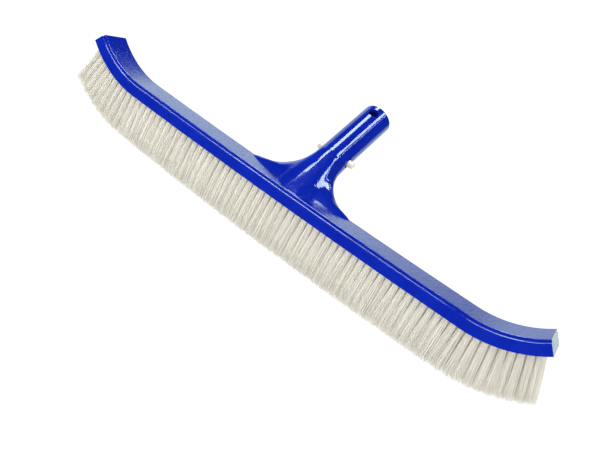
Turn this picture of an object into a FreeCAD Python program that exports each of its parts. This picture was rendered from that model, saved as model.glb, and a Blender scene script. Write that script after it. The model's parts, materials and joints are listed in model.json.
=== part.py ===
import FreeCAD, Part
import math
import os
import Sketcher
from FreeCAD import Placement, Rotation, Vector

# Pool wall brush: a curved moulded back with a hollow handle stub, rows of bristle tufts that are
# stapled into blind holes, and a sprung V clip whose two buttons lock the brush on a pole.
# Frame: origin on the bristle tips under the middle tuft, X along the brush, Y towards the side that
# the handle leans to, Z up from the bristle tips to the handle. Lengths in mm, angles in degrees.

SIZES = {
    # brush back, seen from the side: a very gentle middle arc and a tight arc at each end
    "mid_half": 167.9,
    "mid_radius": 8300,
    "end_radius": 98,
    "end_sweep": 38.6,
    "back_width": 29.6,
    "ledge_height": 9.7,
    "panel_width": 26.6,
    "back_height": 12,
    "edge_round": 0.6,
    "ledge_round": 1.35,
    # bristle tufts and the metal strips that anchor them
    "bristle_length": 40.5,
    "end_trim": 4,
    "tuft_lean": 0.75,
    "tuft_pitch": 6.27,
    "row_pitch": 5,
    "tuft_hole_radius": 1.75,
    "tuft_hole_depth": 8,
    "tuft_root_radius": 1.7,
    "tuft_tip_radius": 2.6,
    "anchor_width": 3.3,
    "anchor_thick": 0.4,
    "anchor_tall": 1.8,
    # handle stub, measured along its axis from the point where that axis meets the back
    "handle_tilt": 53.5,
    "foot_y": 13.2,
    "foot_rise": 12.3,
    "tip_along": 107.3,
    "handle_radius": 13.75,
    "foot_radius": 13.9,
    "straight_from": 51.5,
    "tip_round": 1,
    "bore_radius": 10.8,
    "bore_end": 38,
    "end_wall": 4.4,
    "clip_slot_length": 21.2,
    "clip_slot_width": 6.9,
    "tip_hole_radius": 4.4,
    "tip_hole_along": 98,
    "neck_top": 38,
    "neck_half_width": 52,
    "neck_step": 0.4,
    "shoulder_rise": 3.5,
    "ridge_growth": 17,
    "ridge_fold": 33,
    "wing_edge": 2.5,
    # V clip and buttons
    "strip_thick": 0.8,
    "strip_width": 6,
    "bend_radius": 3.2,
    "hinge_along": 88,
    "leg_knee": 54,
    "leg_end": 42.6,
    "leg_out": 9.4,
    "button_along": 46.75,
    "button_radius": 3.05,
    "button_out": 19.4,
    "button_dome": 1.6,
    "button_step": 14,
    "collar_radius": 3.25,
    "rivet_radius": 2.2,
    "rivet_height": 0.8,
    "peg_radius": 1.25,
    "button_hole_radius": 3.5,
    "button_slot": 1.9,
}

# angles round the neck's flanks at which it has a cross-section, from the tube towards the back
NECK_TURNS = (20, 38, 55, 70, 81)
# cross-sections of the neck inside and behind the back: place along the handle axis, and depth
NECK_ROOT = ((-3, 7), (-10, 5.5), (-21, 4))
# share of the neck's upper outline, from crest to rim, that is its ridge
RIDGE_SHARE = 0.45
ROWS = ("front", "second", "centre", "fourth", "rear")
FULL_ROW = 73
HINGE_GAP = 0.55
PEG_GAP = 0.05

os.makedirs("parts", exist_ok=True)
doc = FreeCAD.newDocument("pool_wall_brush")
sheet = doc.addObject("Spreadsheet::Sheet", "Sizes")
for row, (alias, value) in enumerate(SIZES.items(), start=1):
    sheet.set("A%d" % row, alias)
    sheet.set("B%d" % row, str(value))
    sheet.setAlias("B%d" % row, alias)
doc.recompute()


def size(alias):
    return float(sheet.get(alias))


UP = size("bristle_length")
TILT = math.radians(size("handle_tilt"))
FOOT = Vector(0, size("foot_y"), UP + size("foot_rise"))
HANDLE_FRAME = Placement(FOOT, Rotation(Vector(-1, 0, 0), size("handle_tilt")))
MID_TURN = size("mid_half") / size("mid_radius")
END_TURN = MID_TURN + math.radians(size("end_sweep"))
HALF_PATH = size("mid_half") + size("end_radius") * math.radians(size("end_sweep"))


# ---------- the curved line of the underside ----------

def end_centre(side):
    """Centre of the end arc, in the X-Z plane."""
    short = size("mid_radius") - size("end_radius")
    return Vector(side * short * math.sin(MID_TURN), UP + size("mid_radius") - short * math.cos(MID_TURN), 0)


def turn_at(along):
    """Angle that the underside has turned through at a distance along it from the middle."""
    reach = abs(along)
    if reach <= size("mid_half"):
        turn = reach / size("mid_radius")
    else:
        turn = MID_TURN + (reach - size("mid_half")) / size("end_radius")
    return math.copysign(turn, along)


def point_at(along):
    """Point of the underside at that distance along it."""
    turn = turn_at(along)
    if abs(along) <= size("mid_half"):
        radius = size("mid_radius")
        centre = Vector(0, UP + radius, 0)
    else:
        radius = size("end_radius")
        centre = end_centre(math.copysign(1, along))
    return Vector(centre.x + radius * math.sin(turn), 0, centre.y - radius * math.cos(turn))


# ---------- helpers for sketches ----------

def bind(target, prop, alias):
    target.setExpression(prop, "Sizes." + alias)


def new_sketch(body, name, role, offset=Placement()):
    sketch = body.newObject("Sketcher::SketchObject", name)
    plane = next(f for f in body.Origin.OriginFeatures if f.Role == role)
    sketch.AttachmentSupport = [(plane, "")]
    sketch.MapMode = "FlatFace"
    sketch.AttachmentOffset = offset
    return sketch


def new_body(label):
    body = doc.addObject("PartDesign::Body", label)
    body.Label = label
    return body


def add_chain(sketch, points):
    for start, end in zip(points, points[1:]):
        sketch.addGeometry(Part.LineSegment(Vector(*start, 0), Vector(*end, 0)), False)


def circle_arc(centre, radius, start, end):
    circle = Part.Circle(centre, Vector(0, 0, 1), radius)
    return Part.ArcOfCircle(circle, start, end)


def on_handle(body):
    """Place a body that is drawn in the handle's own frame: its Z is the handle axis."""
    body.Placement = HANDLE_FRAME
    bind(body, ".Placement.Base.y", "foot_y")
    body.setExpression(".Placement.Base.z", "Sizes.bristle_length + Sizes.foot_rise")
    body.setExpression(".Placement.Rotation.Angle", "Sizes.handle_tilt * 1deg")


# ---------- brush back ----------

def add_band(sketch, low, high):
    """Outline between two heights above the underside, following its curve."""
    down = -math.pi / 2
    middle = Vector(0, UP + size("mid_radius"), 0)
    corners = {}
    for height in (low, high):
        mid = circle_arc(middle, size("mid_radius") - height, down - MID_TURN, down + MID_TURN)
        sketch.addGeometry(mid, False)
        for side in (-1, 1):
            first = down + side * MID_TURN
            last = down + side * END_TURN
            radius = size("end_radius") - height
            arc = circle_arc(end_centre(side), radius, min(first, last), max(first, last))
            sketch.addGeometry(arc, False)
            reach = Vector(math.cos(last), math.sin(last), 0) * radius
            corners[(side, height)] = end_centre(side) + reach
    for side in (-1, 1):
        sketch.addGeometry(Part.LineSegment(corners[(side, low)], corners[(side, high)]), False)


def add_bar(body, name, low, high, width_alias):
    sketch = new_sketch(body, name + "_outline", "XZ_Plane")
    add_band(sketch, low, high)
    pad = body.newObject("PartDesign::Pad", name)
    pad.Profile = sketch
    pad.Midplane = True
    bind(pad, "Length", width_alias)
    doc.recompute()
    return pad


def height_of(point):
    """Height of a point above the curve of the underside."""
    flat = Vector(point.x, point.z, 0)
    if abs(point.x) <= size("mid_half"):
        return size("mid_radius") - flat.distanceToPoint(Vector(0, UP + size("mid_radius"), 0))
    return size("end_radius") - flat.distanceToPoint(end_centre(math.copysign(1, point.x)))


def long_edges(shape, half_width, above):
    """Names of the lengthwise edges at that half width and higher than a limit above the underside."""
    names = []
    for number, edge in enumerate(shape.Edges, start=1):
        box = edge.BoundBox
        if box.YLength > 1e-6 or box.XLength < 20 or abs(abs(box.YMin) - half_width) > 1e-6:
            continue
        if height_of(edge.valueAt((edge.FirstParameter + edge.LastParameter) / 2)) > above:
            names.append("Edge%d" % number)
    return names


def is_underside(edge):
    return abs(height_of(edge.valueAt((edge.FirstParameter + edge.LastParameter) / 2))) < 0.01


def add_fillet(body, name, base, edges, alias):
    fillet = body.newObject("PartDesign::Fillet", name)
    fillet.Base = (base, edges)
    bind(fillet, "Radius", alias)
    doc.recompute()
    return fillet


def make_bar_body():
    body = new_body("back_bar")
    base = add_bar(body, "base_bar", 0, size("ledge_height"), "back_width")
    ledge = long_edges(base.Shape, size("back_width") / 2, size("ledge_height") / 2)
    rounded = add_fillet(body, "ledge_round", base, ledge, "ledge_round")
    lower = long_edges(rounded.Shape, size("back_width") / 2, -1)
    lower = [name for name in lower if is_underside(rounded.Shape.getElement(name))]
    add_fillet(body, "underside_round", rounded, lower, "edge_round")
    panel = add_bar(body, "top_panel", size("ledge_height") - 1, size("back_height"), "panel_width")
    between = (size("ledge_height") + size("back_height")) / 2
    top = long_edges(panel.Shape, size("panel_width") / 2, between)
    add_fillet(body, "panel_round", panel, top, "edge_round")
    return body


def make_tube_body():
    """The stub, drawn round the handle axis: a shoulder, a slight draft above it and a rounded tip."""
    body = new_body("handle_tube")
    on_handle(body)
    sketch = new_sketch(body, "tube_profile", "XZ_Plane")
    low = size("neck_top") - 4
    top = size("tip_along")
    radius = size("handle_radius")
    curl = size("tip_round")
    foot = size("foot_radius")
    neck = radius + size("neck_step") - 0.05
    shoulder = size("neck_top") - 0.1
    add_chain(sketch, [(0, low), (foot, low), (foot, shoulder), (neck, shoulder),
                       (foot, size("neck_top") + size("shoulder_rise")),
                       (radius, size("straight_from")), (radius, top - curl)])
    sketch.addGeometry(circle_arc(Vector(radius - curl, top - curl, 0), curl, 0, math.pi / 2), False)
    add_chain(sketch, [(radius - curl, top), (0, top), (0, low)])
    turn = body.newObject("PartDesign::Revolution", "tube_turned")
    turn.Profile = sketch
    turn.ReferenceAxis = (sketch, ["V_Axis"])
    turn.Angle = 360
    return body


def neck_top(half_width, crest, share, place):
    """Upper side of the neck, from its crest (place 0) out to its rim (place 1).

    It opens from a round tube (share 0) into a broad ridge with a thin wing on each side (share 1).
    """
    turn = place * math.pi / 2
    tube = Vector(half_width * math.sin(turn), crest * math.cos(turn), 0)
    ridge = size("handle_radius") + share * size("ridge_growth")
    fold = math.radians(size("ridge_fold"))
    if place < RIDGE_SHARE:
        turn = fold * place / RIDGE_SHARE
        winged = Vector(ridge * math.sin(turn), crest - ridge * (1 - math.cos(turn)), 0)
    else:
        out = (place - RIDGE_SHARE) / (1 - RIDGE_SHARE)
        x = ridge * math.sin(fold)
        height = crest - ridge * (1 - math.cos(fold))
        level = height + (size("wing_edge") - height) * out
        winged = Vector(x + (half_width - x) * out, level * math.sqrt(1 - out ** 6), 0)
    return tube + (winged - tube) * min(1, 2.5 * share)


def neck_underside(half_width, depth, share, place):
    """Lower side of the neck, from its rim (place 0) in to its lowest line (place 1)."""
    edge = size("wing_edge")
    rim = min(edge, depth)
    bulge = 1 + 0.45 * share
    c = math.cos(place * math.pi / 2)
    s = math.sin(place * math.pi / 2)
    return Vector((half_width - edge) * c ** bulge + edge * c, -(depth - rim) * s ** bulge - rim * s, 0)


def neck_section(along, half_width, crest, depth, share):
    """Closed outline across the handle axis."""
    steps = 12
    quarter = [neck_top(half_width, crest, share, step / steps) for step in range(steps)]
    quarter += [neck_underside(half_width, depth, share, step / steps) for step in range(steps + 1)]
    outline = [Vector(p.x, -p.y, along) for p in quarter]
    outline += [Vector(-p.x, -p.y, along) for p in reversed(quarter[1:-1])]
    curve = Part.BSplineCurve()
    curve.interpolate(Points=outline, PeriodicFlag=True)
    return Part.Wire(curve.toShape())


def make_neck():
    """Flared neck: quarter-circle flanks run from the tube out to the rear edge of the back."""
    top = size("neck_top")
    tube = size("handle_radius") + size("neck_step")
    flank = size("neck_half_width") - tube
    wires = [neck_section(top, tube, tube, tube, 0)]
    for degrees in NECK_TURNS:
        angle = math.radians(degrees)
        along = top * (1 - math.sin(angle))
        half_width = size("neck_half_width") - flank * math.cos(angle)
        share = 1 - along / top
        crest = tube - size("neck_step") * min(1, 2 * share)
        wires.append(neck_section(along, half_width, crest, tube - 6.5 * share, share))
    crest = tube - size("neck_step")
    for along, depth in NECK_ROOT:
        wires.append(neck_section(along, size("neck_half_width") + 1, crest, depth, 1))
    return Part.makeLoft(wires, True, False)


def make_back():
    bar = make_bar_body()
    tube = make_tube_body()
    neck = doc.addObject("Part::Feature", "neck_flare")
    neck.Shape = make_neck()
    neck.Placement = HANDLE_FRAME
    floor = doc.addObject("Part::Box", "below_underside")
    floor.Length = 200
    floor.Width = 100
    floor.Height = 60
    floor.Placement = Placement(Vector(-100, -50, UP + 2 - 60), Rotation())
    trimmed = doc.addObject("Part::Cut", "neck_trimmed")
    trimmed.Base = neck
    trimmed.Tool = floor
    blank = doc.addObject("Part::MultiFuse", "back_blank")
    blank.Shapes = [bar, tube, trimmed]
    doc.recompute()
    hollows = doc.addObject("Part::Compound", "hollows")
    hollows.Links = [make_bore(), make_clip_slot(), make_tip_hole()] + make_button_slots() + make_tuft_holes()
    back = doc.addObject("Part::Cut", "brush_back")
    back.Base = blank
    back.Tool = hollows
    back.Label = "brush_back"
    return back


def make_bore():
    """Room for the clip inside the stub, closed by a wall at the tip."""
    bore = doc.addObject("Part::Cylinder", "bore")
    bind(bore, "Radius", "bore_radius")
    bore.setExpression("Height", "Sizes.tip_along - Sizes.end_wall - Sizes.bore_end")
    bore.Placement = HANDLE_FRAME.multiply(Placement(Vector(0, 0, size("bore_end")), Rotation()))
    return bore


def make_clip_slot():
    """Slot through the end wall that lets the squeezed clip in."""
    slot = doc.addObject("Part::Box", "clip_slot")
    bind(slot, "Length", "clip_slot_length")
    bind(slot, "Width", "clip_slot_width")
    slot.setExpression("Height", "Sizes.end_wall + 4")
    corner = Vector(-size("clip_slot_length") / 2, -size("clip_slot_width") / 2,
                    size("tip_along") - size("end_wall") - 2)
    slot.Placement = HANDLE_FRAME.multiply(Placement(corner, Rotation()))
    return slot


def make_tip_hole():
    hole = doc.addObject("Part::Cylinder", "tip_hole")
    bind(hole, "Radius", "tip_hole_radius")
    hole.Height = 20
    up_side = Placement(Vector(0, 0, size("tip_hole_along")), Rotation(Vector(1, 0, 0), 90))
    hole.Placement = HANDLE_FRAME.multiply(up_side)
    return hole


def make_button_slots():
    """A hole on each side of the tube, lengthened towards the back where the button swings."""
    slots = []
    for name, side in (("left", -1), ("right", 1)):
        body = new_body("button_slot_" + name)
        on_handle(body)
        sketch = new_sketch(body, "slot_outline_" + name, "YZ_Plane")
        radius = size("button_hole_radius")
        high = size("button_along") + 0.1
        low = size("button_along") - size("button_slot")
        sketch.addGeometry(circle_arc(Vector(0, high, 0), radius, 0, math.pi), False)
        sketch.addGeometry(circle_arc(Vector(0, low, 0), radius, math.pi, 2 * math.pi), False)
        for edge in (-radius, radius):
            sketch.addGeometry(Part.LineSegment(Vector(edge, low, 0), Vector(edge, high, 0)), False)
        pad = body.newObject("PartDesign::Pad", "slot_reach_" + name)
        pad.Profile = sketch
        pad.Length = 20
        pad.Reversed = side < 0
        slots.append(body)
    return slots


# ---------- tufts and anchors ----------

def row_places(row):
    """Distances along the underside of one row's tufts: every other row is set back half a pitch."""
    count = FULL_ROW - row % 2
    return [(number - (count - 1) / 2) * size("tuft_pitch") for number in range(count)]


def tuft_frame(along):
    """Frame at a tuft's mouth whose Z runs out to the tuft's tips."""
    lean = math.degrees(turn_at(along)) * size("tuft_lean")
    return Placement(point_at(along), Rotation(Vector(0, 1, 0), 180 - lean))


def tuft_length(along):
    return size("bristle_length") - size("end_trim") * (along / HALF_PATH) ** 2


def make_tuft(along):
    """A bundle of filaments folded round its anchor: a stem in the hole, then a widening brush."""
    depth = size("tuft_hole_depth") - 0.2
    outline = [
        Vector(0, 0, -depth),
        Vector(size("tuft_root_radius"), 0, -depth),
        Vector(size("tuft_root_radius"), 0, 0),
        Vector(size("tuft_tip_radius"), 0, tuft_length(along)),
        Vector(0, 0, tuft_length(along)),
    ]
    face = Part.Face(Part.makePolygon(outline + outline[:1]))
    tuft = face.revolve(Vector(), Vector(0, 0, 1), 360)
    gap = 0.05
    window = anchor_block(gap, 2 * size("tuft_root_radius") + 1)
    tuft = tuft.cut(window)
    tuft.Placement = tuft_frame(along)
    return tuft


def anchor_block(gap, width):
    thick = size("anchor_thick") + 2 * gap
    tall = size("anchor_tall") + 2 * gap
    low = -size("tuft_hole_depth") + 0.8 - gap
    return Part.makeBox(width, thick, tall, Vector(-width / 2, -thick / 2, low))


def make_anchor(along):
    anchor = anchor_block(0, size("anchor_width"))
    anchor.Placement = tuft_frame(along)
    return anchor


def make_tuft_holes():
    tools = []
    for row, name in enumerate(ROWS):
        holes = []
        for along in row_places(row):
            hole = Part.makeCylinder(size("tuft_hole_radius"), size("tuft_hole_depth") + 4,
                                     Vector(0, 0, -size("tuft_hole_depth")))
            hole.Placement = tuft_frame(along)
            holes.append(hole)
        tools.append(add_row(name + "_row_holes", holes, row))
    return tools


def add_row(label, shapes, row):
    group = doc.addObject("Part::Feature", label)
    group.Label = label
    group.Shape = Part.makeCompound(shapes)
    group.setExpression(".Placement.Base.y", "Sizes.row_pitch * (%d)" % (row - len(ROWS) // 2))
    return group


def section_of(along):
    if abs(along) <= size("mid_half"):
        return "middle"
    return "left" if along < 0 else "right"


def make_tuft_rows():
    made = []
    for row, name in enumerate(ROWS):
        for section in ("left", "middle", "right"):
            places = [along for along in row_places(row) if section_of(along) == section]
            label = "%s_row_%s" % (name, section)
            made.append(add_row("tufts_" + label, [make_tuft(along) for along in places], row))
            made.append(add_row("anchors_" + label, [make_anchor(along) for along in places], row))
    return made


# ---------- V clip ----------

def leg_angle():
    """Slope of a leg from the handle axis, found with the bend's own width taken into account."""
    angle = 0.0
    for _ in range(20):
        start = size("bend_radius") * math.cos(angle)
        angle = math.atan((size("leg_out") - start) / (size("hinge_along") - size("leg_knee")))
    return angle


def make_clip_bend():
    """Round end of the V, a strip turned on its edge and ending just short of the legs."""
    body = new_body("clip_bend")
    on_handle(body)
    angle = leg_angle()
    centre = Vector(0, size("hinge_along") - size("bend_radius") * math.sin(angle), 0)
    stop = angle + HINGE_GAP / size("bend_radius")
    sketch = new_sketch(body, "bend_outline", "XZ_Plane")
    half = size("strip_thick") / 2
    rims = []
    for radius in (size("bend_radius") - half, size("bend_radius") + half):
        sketch.addGeometry(circle_arc(centre, radius, stop, math.pi - stop), False)
        rims.append(Vector(radius * math.cos(stop), radius * math.sin(stop), 0))
    for side in (-1, 1):
        ends = [centre + Vector(side * rim.x, rim.y, 0) for rim in rims]
        sketch.addGeometry(Part.LineSegment(ends[0], ends[1]), False)
    pad = body.newObject("PartDesign::Pad", "bend_strip")
    pad.Profile = sketch
    pad.Midplane = True
    bind(pad, "Length", "strip_width")
    return body


def make_leg(name, side):
    """One leg of the V, with a round end on the hinge line and a knee before the button."""
    body = new_body("clip_leg_" + name)
    on_handle(body)
    angle = leg_angle()
    half = size("strip_thick") / 2
    hinge = Vector(size("bend_radius") * math.cos(angle), size("hinge_along"), 0)
    across = Vector(math.cos(angle), math.sin(angle), 0) * half
    knee_shift = half * math.tan(angle / 2)
    outline = [
        hinge + across,
        Vector(size("leg_out") + half, size("leg_knee") + knee_shift, 0),
        Vector(size("leg_out") + half, size("leg_end"), 0),
        Vector(size("leg_out") - half, size("leg_end"), 0),
        Vector(size("leg_out") - half, size("leg_knee") - knee_shift, 0),
        hinge - across,
    ]
    outline = [Vector(side * point.x, point.y, 0) for point in outline]
    sketch = new_sketch(body, "leg_outline_" + name, "XZ_Plane")
    for start, end in zip(outline, outline[1:]):
        sketch.addGeometry(Part.LineSegment(start, end), False)
    start = angle if side > 0 else -angle
    sketch.addGeometry(circle_arc(Vector(side * hinge.x, hinge.y, 0), half, start, start + math.pi), False)
    pad = body.newObject("PartDesign::Pad", "leg_strip_" + name)
    pad.Profile = sketch
    pad.Midplane = True
    bind(pad, "Length", "strip_width")
    peg = new_sketch(body, "peg_hole_outline_" + name, "YZ_Plane")
    circle = Part.Circle(Vector(0, size("button_along"), 0), Vector(0, 0, 1), size("peg_radius") + PEG_GAP)
    peg.addGeometry(circle, False)
    hole = body.newObject("PartDesign::Pocket", "peg_hole_" + name)
    hole.Profile = peg
    hole.Type = "ThroughAll"
    hole.Midplane = True
    return body


def make_button(name, side):
    """Domed locking button on a slightly wider collar, its peg riveted through the leg."""
    body = new_body("button_" + name)
    on_handle(body)
    offset = Placement(Vector(0, size("button_along"), 0), Rotation())
    sketch = new_sketch(body, "button_profile_" + name, "XZ_Plane", offset)
    inner = size("leg_out") - size("strip_thick") / 2
    outer = size("leg_out") + size("strip_thick") / 2
    radius = size("button_radius")
    shoulder = size("button_out") - size("button_dome")
    step = size("button_step")
    back = inner - size("rivet_height")
    profile = [(back, 0), (back, size("rivet_radius")), (inner, size("rivet_radius")),
               (inner, size("peg_radius")), (outer, size("peg_radius")), (outer, size("collar_radius")),
               (step, size("collar_radius")), (step, radius), (shoulder, radius)]
    add_chain(sketch, [(side * x, r) for x, r in profile])
    dome = (radius ** 2 + size("button_dome") ** 2) / (2 * size("button_dome"))
    half = math.asin(radius / dome)
    centre = Vector(side * (size("button_out") - dome), 0, 0)
    start = 0 if side > 0 else math.pi - half
    sketch.addGeometry(circle_arc(centre, dome, start, start + half), False)
    add_chain(sketch, [(side * size("button_out"), 0), (side * back, 0)])
    turn = body.newObject("PartDesign::Revolution", "button_turned_" + name)
    turn.Profile = sketch
    turn.ReferenceAxis = (sketch, ["H_Axis"])
    turn.Angle = 360
    return body


def make_clip():
    made = [make_clip_bend()]
    for name, side in (("left", -1), ("right", 1)):
        made.append(make_leg(name, side))
        made.append(make_button(name, side))
    return made


# ---------- build, check and write ----------

def check(sub_parts):
    doc.recompute()
    for thing in doc.Objects:
        if "Invalid" in thing.State or "Error" in thing.State:
            raise RuntimeError("%s is in state %s" % (thing.Label, thing.State))
    for thing in sub_parts:
        if thing.Shape.isNull() or not thing.Shape.isValid():
            raise RuntimeError("%s has no valid shape" % thing.Label)


sub_parts = [make_back()] + make_tuft_rows() + make_clip()
check(sub_parts)
for thing in sub_parts:
    thing.Shape.exportStep("parts/%s.step" % thing.Label)
    box = thing.Shape.BoundBox
    print("%-26s %3d solids  %8.1f mm3  X %.1f..%.1f  Y %.1f..%.1f  Z %.1f..%.1f" % (
        thing.Label, len(thing.Shape.Solids), thing.Shape.Volume,
        box.XMin, box.XMax, box.YMin, box.YMax, box.ZMin, box.ZMax))
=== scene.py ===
import bpy
import json
import math
import random
from mathutils import Matrix, Vector


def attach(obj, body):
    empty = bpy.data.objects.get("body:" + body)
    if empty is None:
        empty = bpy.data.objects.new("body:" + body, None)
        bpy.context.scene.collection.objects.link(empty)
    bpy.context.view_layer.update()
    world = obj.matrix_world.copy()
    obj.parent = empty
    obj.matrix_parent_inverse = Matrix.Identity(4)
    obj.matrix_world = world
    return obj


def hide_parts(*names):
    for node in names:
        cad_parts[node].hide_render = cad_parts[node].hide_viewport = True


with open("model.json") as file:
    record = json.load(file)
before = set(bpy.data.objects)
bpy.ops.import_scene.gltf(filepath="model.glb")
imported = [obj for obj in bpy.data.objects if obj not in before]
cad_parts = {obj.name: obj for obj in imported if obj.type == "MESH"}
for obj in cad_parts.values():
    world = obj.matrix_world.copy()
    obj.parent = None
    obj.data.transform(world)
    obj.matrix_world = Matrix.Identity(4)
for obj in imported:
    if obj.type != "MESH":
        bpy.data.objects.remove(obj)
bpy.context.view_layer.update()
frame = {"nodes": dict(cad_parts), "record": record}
MM = 0.001

# ---------- the brush's own dimensions, as in the CAD model, in metres ----------

TUFT_PITCH = 6.27 * MM
ROW_PITCH = 5.0 * MM
ROWS = ("front", "second", "centre", "fourth", "rear")
FULL_ROW = 73
BRISTLE_LENGTH = 40.5 * MM
END_TRIM = 4.0 * MM
TUFT_LEAN = 0.75
TUFT_ROOT_RADIUS = 2.1 * MM
MID_HALF = 167.9 * MM
MID_RADIUS = 8300 * MM
END_RADIUS = 98 * MM
END_SWEEP = math.radians(38.6)
MID_TURN = MID_HALF / MID_RADIUS
HALF_PATH = MID_HALF + END_RADIUS * END_SWEEP

# ---------- bristle filaments ----------

FILAMENTS = 84
FILAMENT_RADIUS = 0.18 * MM
FILAMENT_SIDES = 4
FILAMENT_RINGS = 3
FILAMENT_TAPER = 0.25
TIP_SPREAD_ALONG = 3.9 * MM
TIP_SPREAD_ACROSS = 2.9 * MM
TIP_STRAY = 0.35 * MM
TUFT_LEAN_ALONG = 0.25 * MM
TUFT_LEAN_ACROSS = 0.2 * MM
UNEVEN_CUT = 0.5 * MM
MID_BULGE = 0.55 * MM
MID_STRAY = 0.25 * MM
SHADE_STRAY = 0.09
STEM_DEPTH = 3.0 * MM
END_TUCK = 5.5 * MM
TUCK_POWER = 8

# ---------- studio ----------

FLOOR_DROP = -0.6 * MM
FLOOR_GLOW = 1.1
FLOOR_RADIUS = 2.4
COVE_CURVE = 0.8
COVE_STEPS = 8
COVE_TOP = 2.6
COVE_SIDES = 64

STRIP_HEIGHT = 1.3
KEY_HEIGHT = 1.5
GLOSS_TINT = (0.84, 1.0, 1.0)
PLAIN_TINT = (1.0, 1.0, 1.0)
SKY_TINT = (0.80, 0.98, 0.74, 1.0)

CAMERA_PLACE = Vector((195.7, -472.5, 222.8)) * MM
CAMERA_LENS = 40.24
CAMERA_AZIMUTH = math.radians(20.42)
CAMERA_ELEVATION = math.radians(20.96)
CAMERA_ROLL = math.radians(28.1)


# ---------- small node helpers ----------

def new_material(name):
    material = bpy.data.materials.new(name)
    material.use_nodes = True
    nodes = material.node_tree.nodes
    nodes.clear()
    out = nodes.new("ShaderNodeOutputMaterial")
    shader = nodes.new("ShaderNodeBsdfPrincipled")
    material.node_tree.links.new(shader.outputs["BSDF"], out.inputs["Surface"])
    return material, nodes, material.node_tree.links, shader


def noise(nodes, scale, detail=3.0, roughness=0.5):
    texture = nodes.new("ShaderNodeTexNoise")
    texture.inputs["Scale"].default_value = scale
    texture.inputs["Detail"].default_value = detail
    texture.inputs["Roughness"].default_value = roughness
    return texture


def ramp(nodes, links, source, low, high, low_value, high_value):
    """Map a factor between two limits to a pair of plain values or colours."""
    node = nodes.new("ShaderNodeValToRGB")
    node.color_ramp.elements[0].position = low
    node.color_ramp.elements[1].position = high
    node.color_ramp.elements[0].color = as_colour(low_value)
    node.color_ramp.elements[1].color = as_colour(high_value)
    links.new(source, node.inputs["Fac"])
    return node.outputs["Color"]


def as_colour(value):
    if isinstance(value, (int, float)):
        return (value, value, value, 1.0)
    return (*value, 1.0)


def math_node(nodes, links, operation, *values):
    node = nodes.new("ShaderNodeMath")
    node.operation = operation
    for socket, value in zip(node.inputs, values):
        if isinstance(value, (int, float)):
            socket.default_value = value
        else:
            links.new(value, socket)
    return node.outputs["Value"]


def object_coordinates(nodes):
    return nodes.new("ShaderNodeTexCoord").outputs["Object"]


def bump(nodes, links, shader, height, strength, distance):
    node = nodes.new("ShaderNodeBump")
    node.inputs["Strength"].default_value = strength
    node.inputs["Distance"].default_value = distance
    links.new(height, node.inputs["Height"])
    links.new(node.outputs["Normal"], shader.inputs["Normal"])


# ---------- materials ----------

def blue_plastic():
    """Glossy cobalt polypropylene with a slightly wavy skin, uneven gloss and a mottled top panel."""
    material, nodes, links, shader = new_material("blue_polypropylene")
    place = object_coordinates(nodes)
    cloud = noise(nodes, 45.0, 4.0, 0.6)
    links.new(place, cloud.inputs["Vector"])
    tint = ramp(nodes, links, cloud.outputs["Fac"], 0.3, 0.7,
                (0.002, 0.013, 0.34), (0.0035, 0.021, 0.41))
    links.new(tint, shader.inputs["Base Color"])
    gloss = noise(nodes, 130.0, 4.0, 0.6)
    links.new(place, gloss.inputs["Vector"])
    roughness = ramp(nodes, links, gloss.outputs["Fac"], 0.3, 0.75, 0.07, 0.11)
    links.new(roughness, shader.inputs["Roughness"])
    skin = noise(nodes, 70.0, 1.0, 0.4)
    links.new(place, skin.inputs["Vector"])
    mottle = noise(nodes, 330.0, 3.0, 0.65)
    links.new(place, mottle.inputs["Vector"])
    relief = math_node(nodes, links, "MULTIPLY", mottle.outputs["Fac"], flat_share(nodes, links))
    height = math_node(nodes, links, "MULTIPLY_ADD", skin.outputs["Fac"], 0.03, relief)
    bump(nodes, links, shader, height, 0.5, 0.0007)
    shader.inputs["IOR"].default_value = 1.49
    return material


def flat_share(nodes, links):
    """1 where the skin doesn't lean to the front or rear, as on the top panel, and 0 elsewhere."""
    split = nodes.new("ShaderNodeSeparateXYZ")
    links.new(nodes.new("ShaderNodeTexCoord").outputs["Normal"], split.inputs["Vector"])
    lean = math_node(nodes, links, "ABSOLUTE", split.outputs["Y"])
    return ramp(nodes, links, lean, 0.06, 0.2, 1.0, 0.0)


def bristle_nylon():
    """Off-white filament whose shade differs a little from one filament to the next.

    A faint painted glow stands in for the light that thin nylon passes on to its neighbours.
    """
    material, nodes, links, shader = new_material("bristle_nylon")
    shade = nodes.new("ShaderNodeAttribute")
    shade.attribute_name = "shade"
    tint = ramp(nodes, links, shade.outputs["Fac"], 0.0, 1.0, (0.90, 0.865, 0.765), (0.96, 0.935, 0.85))
    links.new(tint, shader.inputs["Base Color"])
    shader.inputs["Roughness"].default_value = 0.45
    shader.inputs["IOR"].default_value = 1.5
    # painted glow: a faint cream emission that lifts the shade among the filaments
    shader.inputs["Emission Color"].default_value = (1.0, 0.93, 0.78, 1.0)
    shader.inputs["Emission Strength"].default_value = 0.04
    shader.inputs["Subsurface Weight"].default_value = 0.4
    shader.inputs["Subsurface Radius"].default_value = (1.0, 0.95, 0.85)
    shader.inputs["Subsurface Scale"].default_value = 0.0008
    return material


def button_plastic():
    material, nodes, links, shader = new_material("button_cream")
    place = object_coordinates(nodes)
    cloud = noise(nodes, 400.0, 3.0)
    links.new(place, cloud.inputs["Vector"])
    tint = ramp(nodes, links, cloud.outputs["Fac"], 0.3, 0.7, (0.80, 0.78, 0.62), (0.90, 0.88, 0.74))
    links.new(tint, shader.inputs["Base Color"])
    bump(nodes, links, shader, cloud.outputs["Fac"], 0.15, 0.0002)
    shader.inputs["Roughness"].default_value = 0.3
    return material


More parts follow.
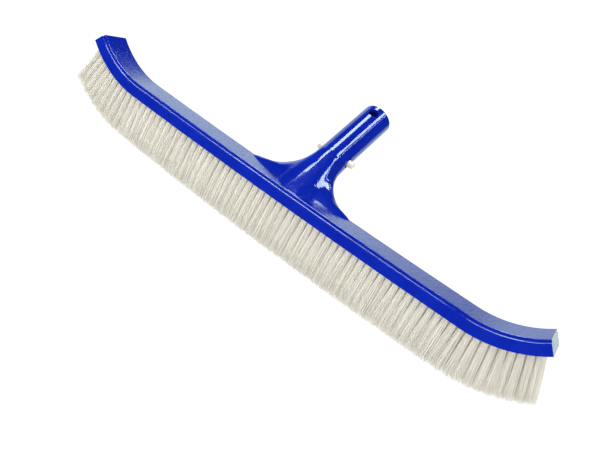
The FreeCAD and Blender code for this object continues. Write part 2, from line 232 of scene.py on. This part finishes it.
def steel(name, low, high):
    """Drawn metal strip with fine lengthwise brushing."""
    material, nodes, links, shader = new_material(name)
    place = object_coordinates(nodes)
    grain = noise(nodes, 900.0, 4.0, 0.7)
    stretch = nodes.new("ShaderNodeMapping")
    stretch.inputs["Scale"].default_value = (3.0, 0.25, 0.25)
    links.new(place, stretch.inputs["Vector"])
    links.new(stretch.outputs["Vector"], grain.inputs["Vector"])
    tint = ramp(nodes, links, grain.outputs["Fac"], 0.3, 0.7, low, high)
    links.new(tint, shader.inputs["Base Color"])
    roughness = ramp(nodes, links, grain.outputs["Fac"], 0.3, 0.7, 0.25, 0.42)
    links.new(roughness, shader.inputs["Roughness"])
    bump(nodes, links, shader, grain.outputs["Fac"], 0.1, 0.0001)
    shader.inputs["Metallic"].default_value = 1.0
    return material


def dress_cad_nodes():
    finishes = {
        "blue_plastic": blue_plastic(),
        "button_plastic": button_plastic(),
        "spring_steel": steel("spring_steel", (0.50, 0.50, 0.52), (0.66, 0.66, 0.68)),
        "anchor_metal": steel("anchor_metal", (0.55, 0.52, 0.46), (0.70, 0.67, 0.60)),
    }
    for part in frame["record"]["subparts"]:
        node = frame["nodes"][part["node"]]
        finish = finishes.get(part["material_slot"])
        if finish is not None:
            node.data.materials.clear()
            node.data.materials.append(finish)


# ---------- bristles ----------

def turn_at(along):
    """Angle the underside has turned through at a distance along it from the middle."""
    reach = abs(along)
    turn = reach / MID_RADIUS if reach <= MID_HALF else MID_TURN + (reach - MID_HALF) / END_RADIUS
    return math.copysign(turn, along)


def point_at(along):
    turn = turn_at(along)
    if abs(along) <= MID_HALF:
        height = BRISTLE_LENGTH + MID_RADIUS * (1 - math.cos(turn))
        return Vector((MID_RADIUS * math.sin(turn), 0, height))
    side = math.copysign(1, along)
    short = MID_RADIUS - END_RADIUS
    centre = Vector((side * short * math.sin(MID_TURN), 0,
                     BRISTLE_LENGTH + MID_RADIUS - short * math.cos(MID_TURN)))
    return centre + Vector((END_RADIUS * math.sin(turn), 0, -END_RADIUS * math.cos(turn)))


def row_places(row):
    count = FULL_ROW - row % 2
    return [(number - (count - 1) / 2) * TUFT_PITCH for number in range(count)]


def section_of(along):
    if abs(along) <= MID_HALF:
        return "middle"
    return "left" if along < 0 else "right"


def tuft_axes(along, row):
    """Root point and the tuft's own outward, lengthwise and crosswise directions."""
    lean = turn_at(along) * TUFT_LEAN
    out = Vector((math.sin(lean), 0, -math.cos(lean)))
    lengthwise = Vector((math.cos(lean), 0, math.sin(lean)))
    root = point_at(along) + Vector((0, (row - len(ROWS) // 2) * ROW_PITCH, 0))
    return root, out, lengthwise, Vector((0, 1, 0))


def add_filament(mesh, start, bend, end, shade):
    """One tapered filament along a soft curve, with a blunt cut tip."""
    verts, faces, shades = mesh
    first = len(verts)
    for ring in range(FILAMENT_RINGS + 1):
        u = ring / FILAMENT_RINGS
        centre = start * (1 - u) ** 2 + bend * 2 * u * (1 - u) + end * u ** 2
        radius = FILAMENT_RADIUS * (1 - FILAMENT_TAPER * u)
        for side in range(FILAMENT_SIDES):
            angle = 2 * math.pi * (side + 0.5) / FILAMENT_SIDES
            verts.append(centre + Vector((math.cos(angle), math.sin(angle), 0)) * radius)
            shades.append(shade)
    for ring in range(FILAMENT_RINGS):
        base = first + ring * FILAMENT_SIDES
        for side in range(FILAMENT_SIDES):
            after = (side + 1) % FILAMENT_SIDES
            faces.append((base + side, base + after,
                          base + FILAMENT_SIDES + after, base + FILAMENT_SIDES + side))
    last = first + FILAMENT_RINGS * FILAMENT_SIDES
    faces.append(tuple(last + side for side in range(FILAMENT_SIDES)))


def add_tuft(mesh, along, row, chance):
    root, out, lengthwise, crosswise = tuft_axes(along, row)
    length = BRISTLE_LENGTH - END_TRIM * (along / HALF_PATH) ** 2
    tuft_shade = chance.uniform(0.45, 0.75)
    lean_along = chance.gauss(0, 1) * TUFT_LEAN_ALONG
    lean_across = chance.gauss(0, 1) * TUFT_LEAN_ACROSS
    tuck = math.copysign(END_TUCK, along) * (along / HALF_PATH) ** TUCK_POWER
    golden = math.pi * (3 - math.sqrt(5))
    for number in range(FILAMENTS):
        reach = math.sqrt((number + 0.5) / FILAMENTS)
        angle = number * golden
        x = reach * math.cos(angle)
        y = reach * math.sin(angle)
        start = root - out * STEM_DEPTH + (lengthwise * x + crosswise * y) * TUFT_ROOT_RADIUS
        end = root + out * (length - chance.uniform(0, 1) ** 3 * UNEVEN_CUT)
        end += lengthwise * (x * TIP_SPREAD_ALONG + lean_along + chance.gauss(0, 1) * TIP_STRAY - tuck)
        end += crosswise * (y * TIP_SPREAD_ACROSS + lean_across + chance.gauss(0, 1) * TIP_STRAY)
        middle = start.lerp(end, 0.5)
        middle += out * (STEM_DEPTH * 0.3) + (lengthwise * x + crosswise * y) * MID_BULGE
        middle += (lengthwise * chance.gauss(0, 1) + crosswise * chance.gauss(0, 1)) * MID_STRAY
        shade = tuft_shade + chance.gauss(0, 1) * SHADE_STRAY
        add_filament(mesh, start, middle, end, min(1, max(0, shade)))


def bristle_section(row, name, section, material):
    chance = random.Random("%s %s" % (name, section))
    mesh = ([], [], [])
    for along in row_places(row):
        if section_of(along) == section:
            add_tuft(mesh, along, row, chance)
    verts, faces, shades = mesh
    label = "%s_row_%s" % (name, section)
    data = bpy.data.meshes.new("bristles_" + label)
    data.from_pydata([tuple(v) for v in verts], [], faces)
    data.attributes.new("shade", "FLOAT", "POINT").data.foreach_set("value", shades)
    data.shade_smooth()
    data.materials.append(material)
    piece = bpy.data.objects.new("bristles_" + label, data)
    bpy.context.scene.collection.objects.link(piece)
    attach(piece, "brush")
    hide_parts("tufts_" + label)
    return piece


def make_bristles():
    material = bristle_nylon()
    for row, name in enumerate(ROWS):
        for section in ("left", "middle", "right"):
            bristle_section(row, name, section, material)


# ---------- studio ----------

def make_cove():
    """Pale floor that curves up into a low wall all round, like a product photographer's cove."""
    profile = []
    for step in range(COVE_STEPS + 1):
        angle = math.pi / 2 * step / COVE_STEPS
        profile.append((FLOOR_RADIUS + COVE_CURVE * math.sin(angle), COVE_CURVE * (1 - math.cos(angle))))
    profile.append((FLOOR_RADIUS + COVE_CURVE, COVE_TOP))
    around = COVE_SIDES
    verts = []
    for radius, height in profile:
        for step in range(around):
            angle = 2 * math.pi * step / around
            verts.append((radius * math.cos(angle), radius * math.sin(angle), height))
    faces = [tuple(range(around))]
    for ring in range(len(profile) - 1):
        for step in range(around):
            after = (step + 1) % around
            low = ring * around
            faces.append((low + step, low + after, low + around + after, low + around + step))
    data = bpy.data.meshes.new("floor")
    data.from_pydata(verts, [], faces)
    data.shade_smooth()
    floor = bpy.data.objects.new("floor", data)
    floor.location.z = FLOOR_DROP
    material, nodes, links, shader = new_material("floor_white")
    grain = noise(nodes, 30.0, 2.0)
    links.new(object_coordinates(nodes), grain.inputs["Vector"])
    tint = ramp(nodes, links, grain.outputs["Fac"], 0.2, 0.8, 0.26, 0.30)
    links.new(tint, shader.inputs["Base Color"])
    shader.inputs["Roughness"].default_value = 0.9
    shader.inputs["Emission Color"].default_value = (1, 1, 1, 1)
    shader.inputs["Emission Strength"].default_value = FLOOR_GLOW
    data.materials.append(material)
    bpy.context.scene.collection.objects.link(floor)
    floor.visible_glossy = False


def make_light(name, low, high, height, radiance, seen_in_gloss):
    """A level soft box over the brush, given by two opposite corners in plan.

    It serves either the reflections or the general light, so that each can be set by itself.
    """
    width = high[0] - low[0]
    depth = high[1] - low[1]
    data = bpy.data.lights.new(name, "AREA")
    data.shape = "RECTANGLE"
    data.size = width
    data.size_y = depth
    data.energy = radiance * math.pi * width * depth
    data.color = GLOSS_TINT if seen_in_gloss else PLAIN_TINT
    light = bpy.data.objects.new(name, data)
    light.location = ((low[0] + high[0]) / 2, (low[1] + high[1]) / 2, height)
    light.visible_glossy = seen_in_gloss
    light.visible_diffuse = not seen_in_gloss
    bpy.context.scene.collection.objects.link(light)


def make_lights():
    make_light("strip_left", (-0.70, 0.02), (-0.31, 0.95), STRIP_HEIGHT, 16, True)
    make_light("strip_right", (0.42, 0.13), (0.70, 0.95), STRIP_HEIGHT, 16, True)
    make_light("strip_far_right", (0.89, 0.1), (0.95, 1.1), STRIP_HEIGHT, 14, True)
    make_light("overhead_front", (-1.5, -0.8), (0.0, -0.15), STRIP_HEIGHT, 13, True)
    make_light("key", (-1.1, -1.3), (0.1, 0.1), KEY_HEIGHT, 3.8, False)


def make_world():
    """Surroundings seen in the gloss: bright low down behind the brush on the left, dark in front.

    Below the horizon, towards the right, they stand in for the floor, which the gloss doesn't show.
    """
    world = bpy.data.worlds.new("studio")
    bpy.context.scene.world = world
    world.use_nodes = True
    nodes = world.node_tree.nodes
    links = world.node_tree.links
    nodes.clear()
    out = nodes.new("ShaderNodeOutputWorld")
    background = nodes.new("ShaderNodeBackground")
    links.new(background.outputs["Background"], out.inputs["Surface"])
    background.inputs["Color"].default_value = SKY_TINT
    place = nodes.new("ShaderNodeTexCoord")
    split = nodes.new("ShaderNodeSeparateXYZ")
    links.new(place.outputs["Generated"], split.inputs["Vector"])
    from_left = math_node(nodes, links, "MULTIPLY_ADD", split.outputs["X"], 0.5, 0.5)
    sideways = ramp(nodes, links, from_left, 0.35, 0.60, 1.95, 0.04)
    under = ramp(nodes, links, split.outputs["Z"], 0.0, 0.05, 1.0, 0.0)
    bounce = ramp(nodes, links, from_left, 0.35, 0.62, 0.35, 1.5)
    below = math_node(nodes, links, "MULTIPLY", under, bounce)
    aloft = ramp(nodes, links, split.outputs["Z"], 0.38, 0.60, 1.0, 0.04)
    behind = ramp(nodes, links, split.outputs["Y"], 0.3, 0.65, 0.012, 1.0)
    low = ramp(nodes, links, split.outputs["Z"], 0.12, 0.30, 0.5, 1.0)
    lit = math_node(nodes, links, "MULTIPLY", sideways, aloft)
    above = math_node(nodes, links, "MULTIPLY", lit, low)
    level = math_node(nodes, links, "MAXIMUM", above, below)
    links.new(math_node(nodes, links, "MULTIPLY", level, behind), background.inputs["Strength"])


def make_camera():
    """Camera above and to the right of the front, rolled so that the brush lies across the frame."""
    data = bpy.data.cameras.new("camera")
    data.sensor_width = 36
    data.lens = CAMERA_LENS
    camera = bpy.data.objects.new("camera", data)
    ahead = Vector((-math.sin(CAMERA_AZIMUTH), math.cos(CAMERA_AZIMUTH), 0))
    forward = ahead * math.cos(CAMERA_ELEVATION) - Vector((0, 0, math.sin(CAMERA_ELEVATION)))
    level = Vector((math.cos(CAMERA_AZIMUTH), math.sin(CAMERA_AZIMUTH), 0))
    above = level.cross(forward)
    right = level * math.cos(CAMERA_ROLL) + above * math.sin(CAMERA_ROLL)
    up = above * math.cos(CAMERA_ROLL) - level * math.sin(CAMERA_ROLL)
    rotation = Matrix((right, up, -forward)).transposed().to_4x4()
    camera.matrix_world = Matrix.Translation(CAMERA_PLACE) @ rotation
    bpy.context.scene.collection.objects.link(camera)
    bpy.context.scene.camera = camera


dress_cad_nodes()
make_bristles()
make_cove()
make_lights()
make_world()
make_camera()
bpy.context.scene.view_settings.view_transform = "Standard"
